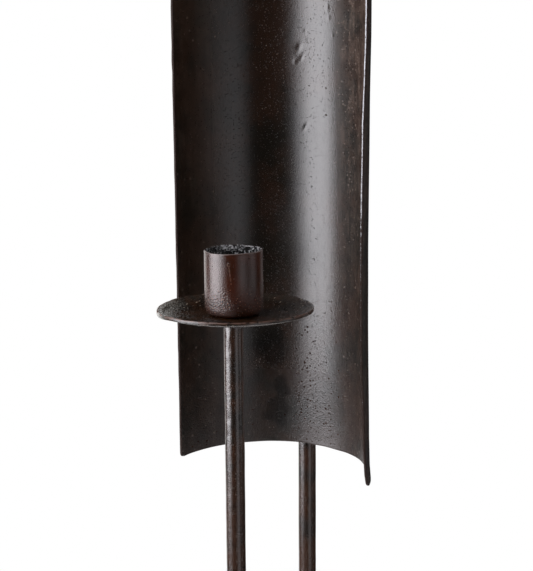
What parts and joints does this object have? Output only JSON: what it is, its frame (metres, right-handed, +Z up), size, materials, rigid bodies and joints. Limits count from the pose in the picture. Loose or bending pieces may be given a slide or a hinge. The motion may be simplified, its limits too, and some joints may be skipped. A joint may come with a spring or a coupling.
{
  "type": "wall candle holder",
  "caption": "Wall candle holder: a tall half-round rolled iron shield with a U-bent round bar that carries a dished drip pan and a candle cup in front of it.",
  "frame": {"origin": "centre of the keyhole's round hole, on the wall plane, which is the back face of the wall hanger", "axes": "+Z up, +Y towards the wall, and the candle cup stands at -Y, towards the room; X = 0 is the plane of the bent bar"},
  "size_m": [0.0922, 0.117, 0.523],
  "materials": {
    "shield_iron": "satin",
    "bar_iron": "satin",
    "pan_iron": "satin",
    "cup_iron": "satin",
    "screw_steel": "satin",
    "weld_metal": "matte"
  },
  "bodies": {
    "root": {"shield": "shield_iron", "support_bar": "bar_iron", "drip_pan": "pan_iron", "candle_cup": "cup_iron", "cup_screw": "screw_steel", "wall_hanger": "bar_iron", "shield_welds": "weld_metal", "hanger_welds": "weld_metal", "pan_weld": "weld_metal"}
  },
  "joints": []
}
